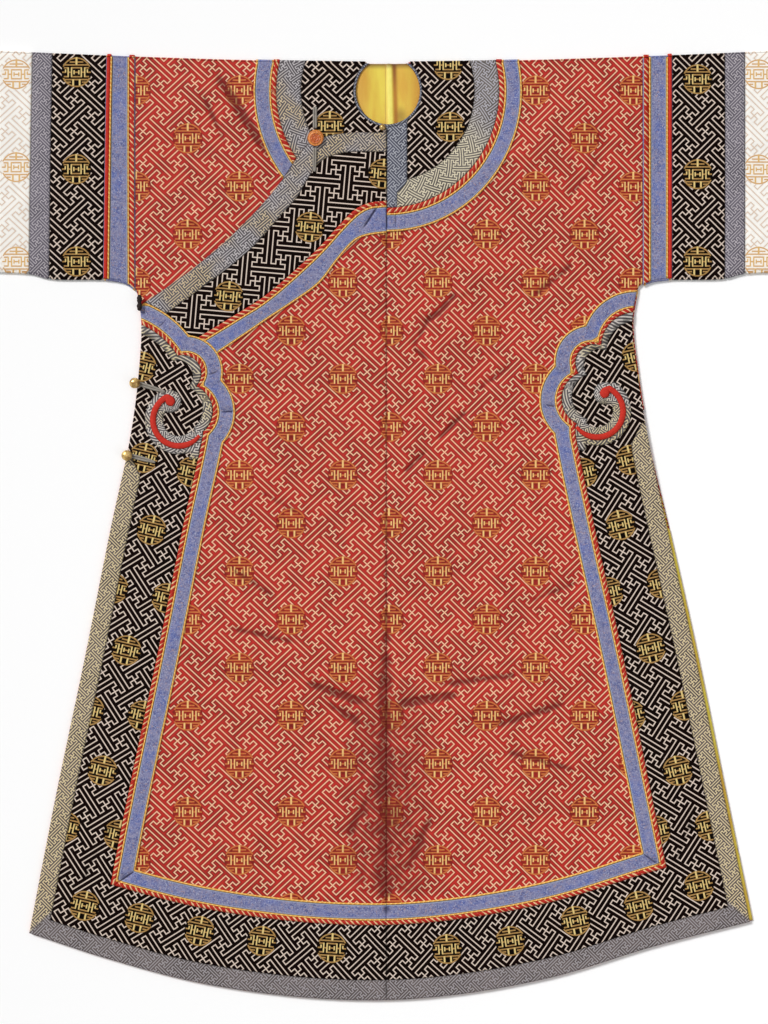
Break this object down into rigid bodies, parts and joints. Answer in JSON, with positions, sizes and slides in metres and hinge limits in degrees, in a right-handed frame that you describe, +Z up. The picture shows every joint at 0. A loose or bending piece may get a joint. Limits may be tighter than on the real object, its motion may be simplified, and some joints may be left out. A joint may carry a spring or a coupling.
{
  "type": "lined robe",
  "caption": "Ankle-length lined silk robe with a round collar, a curved overlap to one side, banded sleeves and slit borders, laid flat.",
  "frame": {"origin": "centre of the robe's box on the surface that it lies on", "axes": "+X from the sleeve at the left to the sleeve at the right, as seen from above, +Y from the hem to the neck, +Z up from the surface, front side up"},
  "size_m": [1.1718, 1.4226, 0.0195],
  "materials": {
    "red_silk": "figured silk, soft sheen",
    "black_silk": "figured silk, soft sheen",
    "grey_edging": "figured silk, soft sheen",
    "ivory_silk": "figured silk, soft sheen",
    "blue_ribbon": "woven ribbon with corded edges",
    "twisted_cord": "two-coloured twisted cord",
    "scarlet_piping": "corded piping",
    "yellow_satin": "satin",
    "dark_cord": "knotted cord",
    "carved_button": "turned and polished",
    "brass_button": "aged"
  },
  "bodies": {
    "root": {"body_left": "red_silk", "body_right": "red_silk", "overlap": "red_silk", "lining_back": "yellow_satin", "sleeve_ribbon_left": "blue_ribbon", "sleeve_band_left": "black_silk", "sleeve_edging_left": "grey_edging", "cuff_left": "ivory_silk", "sleeve_twist_left": "twisted_cord", "sleeve_piping_left": "scarlet_piping", "sleeve_ribbon_right": "blue_ribbon", "sleeve_band_right": "black_silk", "sleeve_edging_right": "grey_edging", "cuff_right": "ivory_silk", "sleeve_twist_right": "twisted_cord", "sleeve_piping_right": "scarlet_piping", "neck_binding": "grey_edging", "collar_band_left": "black_silk", "collar_edging_left": "grey_edging", "collar_twist_left": "twisted_cord", "collar_ribbon_left": "blue_ribbon", "collar_band_right": "black_silk", "collar_edging_right": "grey_edging", "collar_twist_right": "twisted_cord", "collar_ribbon_right": "blue_ribbon", "centre_strip": "grey_edging", "overlap_edging": "grey_edging", "overlap_band": "black_silk", "overlap_twist": "twisted_cord", "overlap_ribbon": "blue_ribbon", "border_ribbon_left": "blue_ribbon", "border_twist_left": "twisted_cord", "border_band_left": "black_silk", "border_edging_left": "grey_edging", "scroll_left": "grey_edging", "curl_left": "scarlet_piping", "border_ribbon_right": "blue_ribbon", "border_twist_right": "twisted_cord", "border_band_right": "black_silk", "border_edging_right": "grey_edging", "scroll_right": "grey_edging", "curl_right": "scarlet_piping", "loop_disc_upper": "grey_edging", "loop_disc_lower": "grey_edging", "loop_side_upper": "grey_edging", "loop_side_lower": "grey_edging", "button_disc": "carved_button", "button_ball": "brass_button", "button_side_upper": "brass_button", "button_side_lower": "brass_button", "knot_armpit": "dark_cord"}
  },
  "joints": []
}
